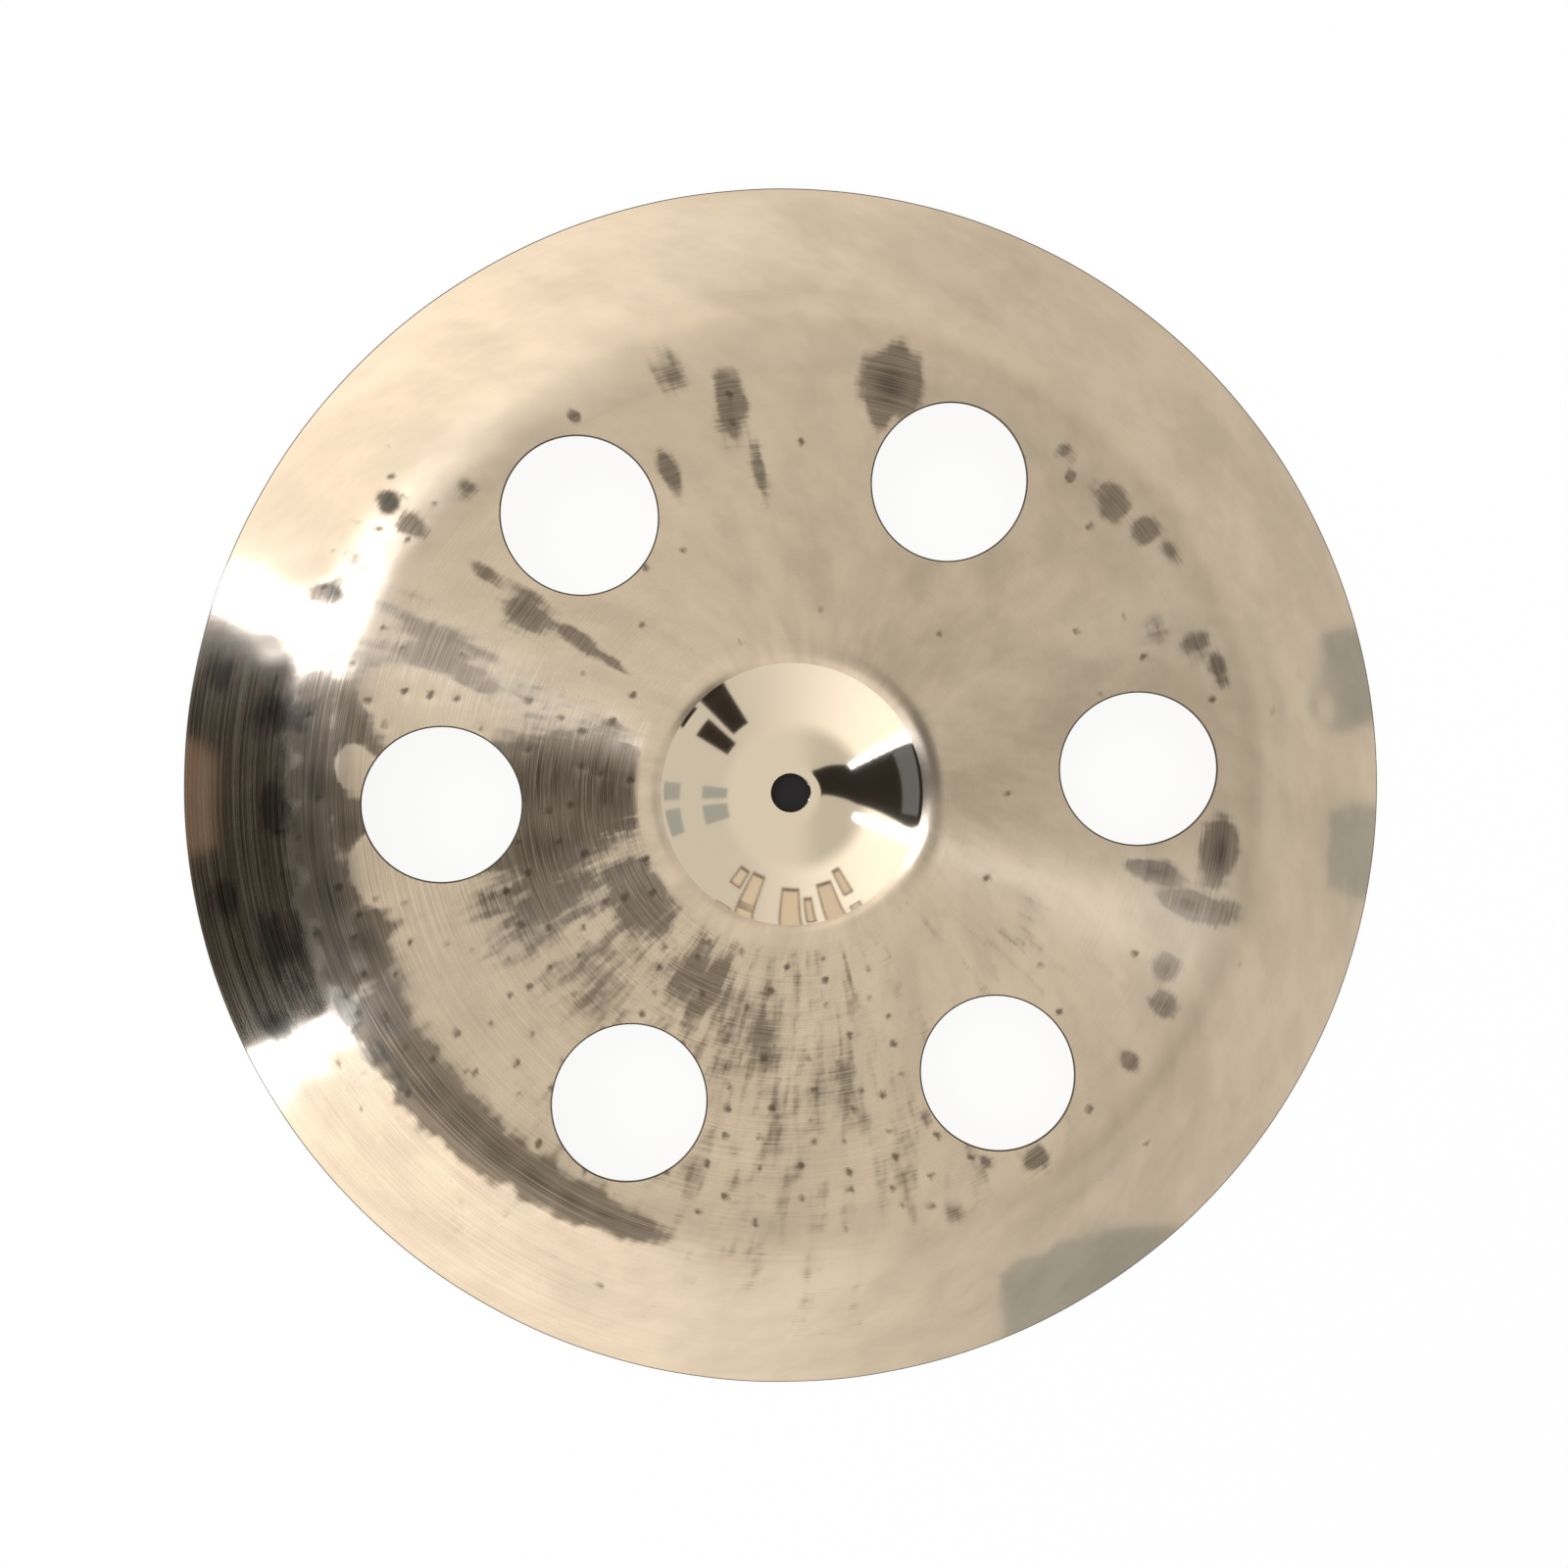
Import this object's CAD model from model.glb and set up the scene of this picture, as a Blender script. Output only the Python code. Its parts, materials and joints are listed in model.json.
"""A china cymbal of cast bronze. A round blank is drilled and ported, pressed to its bell, bow, fold
and flange, hammered, lathed and buffed, and it lies on its rim with its hollow side up."""

import json
import math

import bmesh
import bpy
import numpy as np
from bpy.props import FloatProperty, FloatVectorProperty, IntProperty, PointerProperty
from mathutils import Euler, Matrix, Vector


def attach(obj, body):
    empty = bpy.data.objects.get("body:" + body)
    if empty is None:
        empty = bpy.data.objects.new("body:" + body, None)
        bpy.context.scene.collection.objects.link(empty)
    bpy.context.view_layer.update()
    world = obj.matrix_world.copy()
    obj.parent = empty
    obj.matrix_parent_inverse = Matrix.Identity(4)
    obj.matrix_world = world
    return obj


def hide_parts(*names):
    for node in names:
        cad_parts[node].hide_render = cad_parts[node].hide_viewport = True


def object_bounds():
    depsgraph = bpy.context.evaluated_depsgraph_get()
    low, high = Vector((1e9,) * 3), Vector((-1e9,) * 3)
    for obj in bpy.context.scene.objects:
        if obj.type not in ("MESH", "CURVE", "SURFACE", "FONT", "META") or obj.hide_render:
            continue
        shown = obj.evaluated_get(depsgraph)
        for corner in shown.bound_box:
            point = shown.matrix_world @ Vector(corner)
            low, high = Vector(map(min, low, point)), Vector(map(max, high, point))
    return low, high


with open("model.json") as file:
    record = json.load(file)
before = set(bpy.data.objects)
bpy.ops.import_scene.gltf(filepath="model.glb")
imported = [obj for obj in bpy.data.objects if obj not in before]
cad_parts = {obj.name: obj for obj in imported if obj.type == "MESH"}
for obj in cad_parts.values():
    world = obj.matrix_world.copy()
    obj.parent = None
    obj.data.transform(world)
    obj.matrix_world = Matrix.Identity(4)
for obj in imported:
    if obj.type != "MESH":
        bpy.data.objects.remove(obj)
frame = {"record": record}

bl_info = {
    "name": "China cymbal",
    "version": (1, 0, 0),
    "blender": (4, 5, 0),
    "location": "3D View > Sidebar > Cymbal",
    "description": "Makes a hammered and lathed china cymbal with round ports, and a studio for it",
    "category": "Add Mesh",
}

CAD_LOW, CAD_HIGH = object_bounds()
MM = 0.001
NODE = "cymbal"

# Vertices nearer to each other than this are one.
MERGE_DISTANCE = 0.001 * MM

# Edges sharper than the first angle are rounded off. Those under the second are shaded smooth.
SHARP_ANGLE = math.radians(50)
SMOOTH_ANGLE = math.radians(35)
ROUNDING_SEGMENTS = 2

# Rings of faces along the seat, the bell's cap, its foot, the bow, the fold and the flange.
RINGS = (2, 14, 5, 56, 10, 19)
PROFILE_POINTS = 4000

# Small dents: how far apart they are round a ring, in spacings of the rings, how unevenly they are
# struck round and out, their weakest and strongest, and the shares of them that show.
DENT_STEP = 1.7
DENT_SCATTER = (0.35, 0.18)
DENT_WEIGHTS = (0.55, 1.1)
FRONT_SHARE, BACK_SHARE = 0.85, 0.13
FLANGE_LEFT_SHARE, FLANGE_SHARE = 0.6, 0.03

# Broad blows: their rings, out from the fold's outer edge in radii of a blow, how far apart they
# are round a ring, how unevenly they are struck and their weakest and strongest.
BLOW_RINGS = (-0.9, 0.6, 2.1, 3.6)
BLOW_STEP = 2.2
BLOW_SCATTER = (0.25, 0.15)
BLOW_WEIGHTS = (0.2, 1)

# How far a blow reaches, in its radii, and how fast it falls off.
BLOW_REACH = 2.6
BLOW_FALLOFF = 1.6

# The sheet's broad unevenness: how many plane waves it is summed from, and how short and how long
# they are beside the set wave length.
WAVE_COUNT = 28
WAVE_RANGE = (0.7, 1.6)

# Places that kept their hammering scale, each as the share of the rim's radius at its middle, its
# azimuth in degrees, the share of the rim's radius and the degrees to each side, and how full it is.
SCALE_SHARES = (
    (0.665, 77, 0.076, 5.4, 1.5),
    (0.624, 99.5, 0.066, 3.0, 1.0),
    (0.691, 106, 0.05, 2.2, 0.6),
    (0.551, 111, 0.047, 2.1, 0.8),
    (0.511, 96, 0.055, 2.4, 0.5),
    (0.689, 120, 0.016, 1.2, 0.9),
    (0.704, 137, 0.027, 2.3, 0.8),
    (0.733, 144.5, 0.03, 2.0, 0.8),
    (0.789, 144.3, 0.026, 1.6, 0.9),
    (0.598, 144.5, 0.04, 1.8, 0.8),
    (0.515, 145.5, 0.062, 4.6, 1.0),
    (0.42, 144, 0.06, 2.2, 0.8),
    (0.365, 143.5, 0.04, 1.8, 0.7),
    (0.802, 156.5, 0.048, 2.1, 1.0),
    (0.43, 158, 0.1, 3.0, 0.25),
    (0.31, 176, 0.1, 21, 1.6),
    (0.4, 176, 0.11, 15, 1.6),
    (0.4, 192, 0.13, 12, 1.3),
    (0.43, 204, 0.15, 11, 0.75),
    (0.3, 214, 0.08, 18, 1.0),
    (0.41, 222, 0.12, 12, 0.4),
    (0.7, 170, 0.06, 7, 1.1),
    (0.7, 184, 0.05, 5, 1.1),
    (0.71, 199, 0.06, 9, 1.1),
    (0.74, 209, 0.06, 7, 1.3),
    (0.742, 214, 0.06, 9, 1.4),
    (0.745, 219, 0.06, 9, 1.5),
    (0.742, 224.5, 0.06, 9, 1.5),
    (0.74, 230, 0.056, 9, 1.5),
    (0.738, 235.5, 0.05, 9, 1.4),
    (0.735, 241, 0.044, 8, 1.3),
    (0.735, 245.5, 0.038, 8, 1.2),
    (0.735, 250, 0.03, 6, 1.0),
    (0.6, 159, 0.13, 7, 0.8),
    (0.765, 171, 0.05, 9, 1.0),
    (0.765, 185, 0.05, 10, 1.0),
    (0.765, 199, 0.05, 9, 1.1),
    (0.75, 178, 0.06, 9, 1.3),
    (0.75, 192, 0.06, 9, 1.3),
    (0.42, 258, 0.22, 34, 0.17),
    (0.34, 244, 0.08, 14, 0.7),
    (0.4, 262, 0.12, 9, 0.55),
    (0.5, 278, 0.1, 8, 0.3),
    (0.62, 270, 0.08, 12, 0.1),
    (0.692, 20.6, 0.03, 2.8, 0.9),
    (0.71, 16.6, 0.02, 3.2, 0.9),
    (0.644, 25, 0.03, 2.4, 0.6),
    (0.69, 352, 0.04, 6.0, 1.5),
    (0.6, 348, 0.06, 2.6, 1.2),
    (0.66, 344.5, 0.06, 2.6, 1.2),
    (0.7, 344.5, 0.05, 2.4, 0.8),
    (0.66, 335, 0.03, 2.8, 1.1),
    (0.684, 330.5, 0.03, 2.6, 1.1),
    (0.431, 331, 0.04, 4.6, 0.35),
    (0.691, 321.5, 0.02, 1.6, 0.8),
    (0.697, 52, 0.022, 1.9, 0.9),
    (0.671, 49, 0.012, 0.9, 1.0),
    (0.69, 43, 0.03, 3.6, 1.0),
    (0.702, 37.2, 0.03, 2.6, 1.0),
    (0.716, 33, 0.024, 2.8, 0.9),
    (0.564, 292.3, 0.022, 1.6, 0.6),
    (0.703, 303.7, 0.022, 2.0, 0.8),
    (0.72, 291, 0.024, 1.6, 0.5),
    (0.665, 297.7, 0.012, 0.8, 1.0),
)

# Stains of the heavy blows along the fold, each as in the table above but without how full it is.
BLOT_SHARES = (
    (0.784, 144, 0.022, 1.7),
    (0.793, 155.9, 0.03, 2.4),
    (0.79, 151.5, 0.02, 1.6),
    (0.786, 205.9, 0.028, 2.4),
    (0.785, 211.3, 0.03, 2.4),
    (0.775, 216, 0.024, 2.4),
    (0.83, 162.2, 0.028, 1.8),
    (0.826, 171.6, 0.06, 4.6),
    (0.823, 181.2, 0.04, 4.4),
    (0.851, 196.7, 0.06, 5),
    (0.937, 190.5, 0.04, 3),
    (0.95, 168, 0.04, 3),
    (0.927, 204, 0.04, 2),
)

# Smooth islands in the scale, each as in the last table.
ISLAND_SHARES = (
    (0.693, 176, 0.034, 3.2),
    (0.673, 190, 0.036, 5.4),
    (0.6, 166, 0.12, 5.5),
)

# What frays the scale's edges into fingers, spots and streaks: noises, each with its waves in a
# radian and in a millimetre of the radius, its detail and its height.
FRAYING = ((18, 0.04, 2.0, 1.3), (14, 0.18, 2.0, 0.6), (7, 2.2, 3.0, 0.5))

# Cards that the metal shows: each one's finish, its azimuths at its high and at its low edge, and
# its angles off the zenith, in degrees.
CARD_ANGLES = {
    "flag_left_tip": ("flag", (190, 250), (174, 212), (7, 30)),
    "flag_left_high": ("flag", (174, 212), (164.6, 207.8), (30, 60)),
    "flag_left_low": ("flag", (164.6, 207.8), (163, 208.1), (60, 95)),
    "flag_left_warm": ("warm_flag", (178, 187), (173, 192), (78.5, 95)),
    "flag_left_grey": ("grey_flag", (172, 206), (172, 206), (53, 62)),
    "strip_back_left": ("strip", (160, 164), (160, 163), (30, 95)),
    "strip_front_left": ("soft_strip", (207.8, 213.4), (208.1, 213.4), (30, 95)),
    "pane_back_high": ("pane", (4, 16), (4, 16), (34, 47)),
    "pane_back_middle": ("pane", (4, 16), (4, 16), (59, 69)),
    "pane_back_low": ("pane", (4.5, 13.5), (4.5, 13.5), (79, 95)),
    "pane_front_high": ("pane", (-8, 0), (-8, 0), (34, 47)),
    "pane_front_middle": ("pane", (-8, 0), (-8, 0), (59, 69)),
    "pane_front_low": ("pane", (-12, -3), (-12, -3), (79, 95)),
    "pane_front_far": ("pane", (294, 306), (291, 316), (77, 95)),
    "flag_front_right_a": ("small_flag", (303, 315), (303, 315), (44, 66)),
    "flag_front_right_b": ("small_flag", (318, 328), (318, 328), (40, 60)),
}

# Rows of faces across and down each card.
CARD_STEPS = 16

# Small frames behind the cymbal: azimuths and angles off the zenith in degrees, edge to edge, and
# how far in from these the pale face of each begins, at its sides, its top and its foot.
FRAME_ANGLES = (
    (50, 57, 43, 54),
    (59, 68, 42, 60),
    (80, 91, 45, 64),
    (93, 98, 50, 60),
    (102, 112, 44, 60),
    (115, 121, 40, 55),
)
FRAME_BORDERS = (1, 1.8, 1.2)

# Kinds of node that are used often, and the setting that makes a range end softly.
MATH = "ShaderNodeMath"
VECTOR_MATH = "ShaderNodeVectorMath"
MAP_RANGE = "ShaderNodeMapRange"
MIX = "ShaderNodeMix"
MIX_SHADER = "ShaderNodeMixShader"
PRINCIPLED = "ShaderNodeBsdfPrincipled"
ATTRIBUTE = "ShaderNodeAttribute"
SOFTLY = {"interpolation_type": "SMOOTHSTEP"}

# A direction of length 1 that is aslant of the noise's own grid, so that no pattern follows it.
ASLANT = (0.48, 0.36, 0.8)
WHITE = (1, 1, 1, 1)


def linear(hex_colour):
    """Turns an sRGB hex colour into Blender's linear values."""
    channels = [int(hex_colour[place : place + 2], 16) / 255 for place in (0, 2, 4)]
    return tuple(c / 12.92 if c <= 0.04045 else ((c + 0.055) / 1.055) ** 2.4 for c in channels)


def length(name, description, millimetres):
    """A property that holds a length, with its default given in millimetres."""
    return FloatProperty(
        name=name, description=description, default=millimetres * MM, unit="LENGTH", precision=5
    )


def colour(name, description, hex_colour):
    """A property that holds a colour, with its default given as an sRGB hex value."""
    return FloatVectorProperty(
        name=name, description=description, default=linear(hex_colour), subtype="COLOR", min=0, max=1
    )


class CymbalSizes(bpy.types.PropertyGroup):
    """Sizes of the sheet, measured on its hollow side."""

    rim_diameter: length(
        "Rim diameter", "Across the whole disc, as in the frame", (CAD_HIGH.x - CAD_LOW.x) / MM
    )
    overall_height: length(
        "Overall height", "From the rim to the fold, as in the frame", (CAD_HIGH.z - CAD_LOW.z) / MM
    )
    rod_hole_diameter: length("Rod hole diameter", "Centre hole for the stand's rod", 12.4)
    seat_diameter: length("Seat diameter", "Narrow flat round the centre hole", 18.5)
    bell_diameter: length("Bell diameter", "The bell's edge, where its foot begins", 78)
    bell_foot_width: length("Bell foot width", "Bend between the bell and the bow", 8.4)
    fold_width: length("Fold width", "Bend between the bow and the flange", 14)
    flange_width: length("Flange width", "From the fold out to the rim", 45)
    wall_thickness: length("Wall thickness", "Thickness of the bronze sheet", 1)
    bell_cap_depth: length("Bell cap depth", "Depth of the bell's round cap", 12.2)
    bow_depth: length("Bow depth", "Rise of the bow from the bell's foot to the fold", 10)
    bow_sag: length("Bow sag", "How far the bow hangs under a straight line", 1)
    flange_drop: length("Flange drop", "Fall of the flange from the fold to the rim", 24)
    flange_crown: length("Flange crown", "How far the flange bulges over a straight line", 1)
    port_diameter: length("Port diameter", "Round ports in the bow", 46.8)
    edge_rounding: length("Edge rounding", "Rounding of the rim, the ports and the hole", 0.18)
    edge_width: length("Edge width", "Raw strip along the rim and the ports", 0.45)
    disc_steps: IntProperty(name="Disc steps", description="Faces round the disc", default=450, min=24)


class CymbalHammering(bpy.types.PropertyGroup):
    """Depths and places of the hammer's marks."""

    wave_height: length("Wave height", "Height of the sheet's gentle waves", 0.06)
    wave_length: length("Wave length", "Length of the sheet's gentle waves", 34)
    dent_depth: length("Dent depth", "Depth of one small hammer dent", 0.16)
    dent_radius: length("Dent radius", "Radius of one small hammer dent", 1.9)
    dent_ring_spacing: length("Dent ring spacing", "From one ring of dents to the next", 8)
    blow_depth: length("Blow depth", "Depth of one broad blow beside the fold", 0.13)
    blow_radius: length("Blow radius", "Radius of one broad blow beside the fold", 6)
    seed: IntProperty(name="Seed", description="Number that sets where the marks fall", default=7)


class CymbalTooling(bpy.types.PropertyGroup):
    """Depths of the lathe tool's rings."""

    fine_ring_depth: length("Fine ring depth", "Rings left between the grooves", 0.003)
    groove_depth: length("Groove depth", "Rings cut through the scale", 0.06)
    buffed_ring_depth: length("Buffed ring depth", "Rings left on the buffed bell", 0.004)


class CymbalColours(bpy.types.PropertyGroup):
    """Colours of the bronze and of the studio."""

    bronze: colour("Bronze", "Clean tin bronze", "E9D4B8")
    buffed: colour("Buffed bronze", "Buffed tin bronze of the bell", "EFDDC2")
    blot: colour("Blot", "Greenish stain of the heavy blows", "4B4F48")
    thick_oxide: colour("Thick oxide", "Scale where it is thickest", "564A3F")
    oxide: colour("Oxide", "Scale that the lathe left", "887967")
    grime: colour("Grime", "Darkening at the bottom of the dents", "6A5D4B")
    edge: colour("Edge", "Tarnish on the raw edges", "57503F")
    floor: colour("Floor", "Pale studio floor", "F4F4F2")
    felt: colour("Felt", "Black felt under the centre hole", "1A1516")
    ceiling: colour("Ceiling", "Pale grey ceiling", "E3E3E1")
    flag: colour("Flag", "Dark card beside the cymbal", "2D2B27")
    grey_flag: colour("Grey flag", "Blue-grey card on the flag", "6C737D")
    small_flag: colour("Small flag", "Small dark cards in front", "332E2B")
    warm_flag: colour("Warm flag", "Brown card low beside the cymbal", "857468")
    pane: colour("Pane", "Grey-green card beside the cymbal", "ABB4B8")
    frame: colour("Frame", "Grey-brown cards behind the cymbal", "7D7067")
    frame_light: colour("Frame light", "Pale cards on the grey-brown ones", "E2D8CC")
    strip: colour("Strip", "Cool white strips beside the flag", "DCE8FF")


class CymbalStudio(bpy.types.PropertyGroup):
    """Camera, light and backdrop."""

    focal_length: FloatProperty(
        name="Focal length", description="The camera's lens", default=35.99, unit="CAMERA"
    )
    camera_place: FloatVectorProperty(
        name="Camera place",
        description="Over the cymbal, as in the photograph",
        default=(-0.0239, 0.0193, 0.5),
        subtype="TRANSLATION",
    )
    camera_turn: FloatVectorProperty(
        name="Camera turn",
        description="The camera's tilt from straight down",
        default=(math.radians(-1.894), math.radians(-2.51), 0),
        subtype="EULER",
    )
    near_clip: length("Near clip", "From the camera to where things show", 10)
    floor_width: length("Floor width", "Across the floor", 6000)
    floor_gap: length("Floor gap", "From the rim down to the floor", 0.05)
    felt_gap: length("Felt gap", "From the rim's height down to the felt", 0.02)
    near_cards: length("Near cards", "How far off the near cards are", 2040)
    far_cards: length("Far cards", "How far off the far cards are", 2160)
    strip_strength: FloatProperty(
        name="Strip strength", description="Brightness of the strip at the back", default=30
    )
    soft_strip_strength: FloatProperty(
        name="Soft strip strength", description="Brightness of the strip in front", default=5
    )
    warm_strength: FloatProperty(
        name="Warm strength", description="Brightness of the brown card", default=0.8
    )
    lamp_place: FloatVectorProperty(
        name="Lamp place",
        description="Where the soft lamp hangs",
        default=(-0.6, 0.5, 1.6),
        subtype="TRANSLATION",
    )
    lamp_size: length("Lamp size", "Across the soft lamp", 1600)
    lamp_power: FloatProperty(
        name="Lamp power", description="Power of the soft lamp", default=12, unit="POWER"
    )
    world_strength: FloatProperty(name="World strength", description="Even light all round", default=0.8)


def deselect_all():
    """Leaves object mode with nothing selected, so that an operator acts on new things only."""
    if bpy.context.mode != "OBJECT":
        bpy.ops.object.mode_set(mode="OBJECT")
    bpy.ops.object.select_all(action="DESELECT")


def add_node(tree, kind, inputs=None, wanted=0, **settings):
    """Adds one node with its settings and links, and returns its wanted output. An input is a plain
    value or another node's output."""
    node = tree.nodes.new(kind)
    for name, value in settings.items():
        setattr(node, name, value)
    for name, value in (inputs or {}).items():
        if isinstance(value, bpy.types.NodeSocket):
            tree.links.new(value, node.inputs[name])
        else:
            node.inputs[name].default_value = value
    return node.outputs[wanted] if node.outputs else None


def new_material(name, finish, *values):
    """A material whose surface is what one of the finishes below makes of these values."""
    material = bpy.data.materials.new(name)
    material.use_nodes = True
    tree = material.node_tree
    tree.nodes.clear()
    add_node(tree, "ShaderNodeOutputMaterial", {"Surface": finish(tree, *values)})
    return material


# The shape of the sheet.


def stretch_radii(sizes):
    """Radii at which the stretches of the profile meet, from the centre hole to the rim."""
    bell = sizes.bell_diameter / 2
    rim = sizes.rim_diameter / 2
    flange = rim - sizes.flange_width
    return [
        sizes.rod_hole_diameter / 2,
        sizes.seat_diameter / 2,
        bell,
        bell + sizes.bell_foot_width,
        flange - sizes.fold_width,
        flange,
        rim,
    ]


def ring_radii(sizes):
    """Radii of the rings of vertices, from the centre hole to the rim."""
    stops = stretch_radii(sizes)
    radii = [stops[0]]
    for start, end, count in zip(stops[:-1], stops[1:], RINGS):
        radii.extend(np.linspace(start, end, count + 1)[1:])
    lining = sizes.edge_width
    return sorted([*radii, stops[0] + lining, stops[-1] - lining])


def crowned_gradient(share, width, rise, crown):
    """Gradient of a run that rises over a width and bulges by a crown in its middle."""
    return (rise + 4 * crown * (1 - 2 * share)) / width


def pressed_profile(sizes):
    """Radii and heights of the hollow side, from the centre hole out to the rim."""
    hole, seat, bell, bow, fold, flange, rim = stretch_radii(sizes)
    radii = np.linspace(hole, rim, PROFILE_POINTS)
    cap_radius = (bell**2 + sizes.bell_cap_depth**2) / (2 * sizes.bell_cap_depth)
    bow_share = (radii - bow) / (fold - bow)
    flange_share = (radii - flange) / (rim - flange)
    bow_gradient = crowned_gradient(bow_share, fold - bow, sizes.bow_depth, -sizes.bow_sag)
    flange_gradient = crowned_gradient(
        flange_share, rim - flange, -sizes.flange_drop, sizes.flange_crown
    )
    foot_slopes = [math.asin(bell / cap_radius), np.arctan(np.interp(bow, radii, bow_gradient))]
    fold_slopes = [
        np.arctan(np.interp(fold, radii, bow_gradient)),
        np.arctan(np.interp(flange, radii, flange_gradient)),
    ]
    slopes = np.select(
        [radii < seat, radii < bell, radii < bow, radii < fold, radii < flange],
        [
            0 * radii,
            np.arcsin(np.minimum(radii, bell) / cap_radius),
            np.interp(radii, [bell, bow], foot_slopes),
            np.arctan(bow_gradient),
            np.interp(radii, [fold, flange], fold_slopes),
        ],
        np.arctan(flange_gradient),
    )
    gradients = np.tan(slopes)
    steps = np.diff(radii) * (gradients[1:] + gradients[:-1]) / 2
    return radii, np.concatenate([[0], np.cumsum(steps)])


def port_centres():
    """Centres of the ports in plan, from the openings that the frame's record states."""
    openings = frame["record"]["physics"]["openings"]
    boxes = [opening["box_m"] for opening in openings if opening["name"].startswith("port")]
    return [Vector(low[:2]).lerp(Vector(high[:2]), 0.5) for low, high in boxes]


def wave_field(x, y, wave_length, seed):
    """A smooth uneven field of about unit height, summed from plane waves set by a seed."""
    chance = np.random.default_rng(seed)
    headings = chance.uniform(0, 2 * math.pi, WAVE_COUNT)
    phases = chance.uniform(0, 2 * math.pi, WAVE_COUNT)
    rates = 2 * math.pi / (wave_length * chance.uniform(*WAVE_RANGE, WAVE_COUNT))
    field = np.zeros_like(x)
    for heading, phase, rate in zip(headings, phases, rates):
        field += np.sin(rate * (x * math.cos(heading) + y * math.sin(heading)) + phase)
    return field * math.sqrt(2 / WAVE_COUNT)


def dent_share(angle, radius, fold):
    """The share of the small dents that shows at a place: thickly at the front and on the left of
    the bow, thinly elsewhere, and on the flange mostly at its left."""
    left, front = -math.cos(angle), -math.sin(angle)
    if radius > fold:
        return FLANGE_LEFT_SHARE if left > 0.75 else FLANGE_SHARE
    return FRONT_SHARE if left + front > 0.5 else BACK_SHARE


def dent_places(sizes, hammering):
    """Places and weights of the small hammer dents, struck in rings."""
    chance = np.random.default_rng(hammering.seed)
    bow, fold, flange = stretch_radii(sizes)[3:6]
    spacing = hammering.dent_ring_spacing
    around, outward = DENT_SCATTER
    places = []
    for radius in np.arange(bow + spacing / 2, flange + 3 * spacing, spacing):
        count = int(2 * math.pi * radius / (DENT_STEP * spacing))
        for angle in np.linspace(0, 2 * math.pi, count, endpoint=False):
            turned = angle + chance.normal(0, around / count * math.pi)
            struck = radius + chance.normal(0, outward) * spacing
            if chance.random() < dent_share(turned, radius, fold):
                weight = chance.uniform(*DENT_WEIGHTS)
                places.append((struck * math.cos(turned), struck * math.sin(turned), weight))
    return places


def blow_places(sizes, hammering):
    """Places and weights of the broad blows, side by side along both sides of the fold."""
    chance = np.random.default_rng(hammering.seed + 1)
    flange = stretch_radii(sizes)[5]
    around, outward = BLOW_SCATTER
    places = []
    for offset in BLOW_RINGS:
        radius = flange + offset * hammering.blow_radius
        count = int(2 * math.pi * radius / (BLOW_STEP * hammering.blow_radius))
        for angle in np.linspace(0, 2 * math.pi, count, endpoint=False):
            turned = angle + chance.normal(0, around / count * math.pi)
            struck = radius + chance.normal(0, outward) * hammering.blow_radius
            weight = chance.uniform(*BLOW_WEIGHTS)
            places.append((struck * math.cos(turned), struck * math.sin(turned), weight))
    return places


def struck_field(x, y, places, radius):
    """A field that is 1 in the middle of each full blow and falls off round it."""
    field = np.zeros_like(x)
    reach = BLOW_REACH * radius
    for place_x, place_y, weight in places:
        near = (np.abs(x - place_x) < reach) & (np.abs(y - place_y) < reach)
        far = ((x[near] - place_x) ** 2 + (y[near] - place_y) ** 2) / radius**2
        field[near] = np.maximum(field[near], weight * np.exp(-BLOW_FALLOFF * far))
    return field


def ellipse_field(x, y, rim, share, azimuth, share_reach, degree_reach):
    """A field that is 1 in the middle of a patch in polar form, 0 at its edge and less outside."""
    along = (np.hypot(x, y) / rim - share) / share_reach
    turn = np.degrees(np.arctan2(y, x)) - azimuth
    across = ((turn + 180) % 360 - 180) / degree_reach
    return 1 - np.hypot(along, across)


def scale_field(x, y, rim):
    """How surely each place kept its scale, from -1 for clean metal to over 1 for full scale."""
    field = np.full_like(x, -1.0)
    for *place, fullness in SCALE_SHARES:
        field = np.maximum(field, fullness * ellipse_field(x, y, rim, *place))
    for place in ISLAND_SHARES:
        island = np.clip(2 * ellipse_field(x, y, rim, *place), 0, 1)
        field -= island * (field + 1)
    return field


def blot_field(x, y, rim):
    """How surely each place was stained by a heavy blow, from -1 for clean metal to 1."""
    field = np.full_like(x, -1.0)
    for place in BLOT_SHARES:
        field = np.maximum(field, ellipse_field(x, y, rim, *place))
    return field


def hammered_heights(x, y, sizes, hammering):
    """How far the hammer has moved the sheet up or down at each place."""
    radius = np.hypot(x, y)
    bell, bow = stretch_radii(sizes)[2:4]
    beyond_bell = np.clip((radius - bell) / (bow - bell), 0, 1)
    heights = hammering.wave_height * wave_field(x, y, hammering.wave_length, hammering.seed)
    dents = struck_field(x, y, dent_places(sizes, hammering), hammering.dent_radius)
    blows = struck_field(x, y, blow_places(sizes, hammering), hammering.blow_radius)
    heights -= hammering.dent_depth * dents + hammering.blow_depth * blows
    return heights * beyond_bell


# The making of the sheet.


def select_edges(wanted):
    """In edit mode, selects only the edges that pass a test."""
    bpy.ops.mesh.select_mode(type="EDGE")
    bpy.ops.mesh.select_all(action="DESELECT")
    data = bpy.context.object.data
    mesh = bmesh.from_edit_mesh(data)
    for edge in mesh.edges:
        if wanted(edge):
            edge.select_set(True)
    bmesh.update_edit_mesh(data)


def edge_middle(edge):
    """The middle of an edge in plan."""
    return edge.verts[0].co.xy.lerp(edge.verts[1].co.xy, 0.5)


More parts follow.
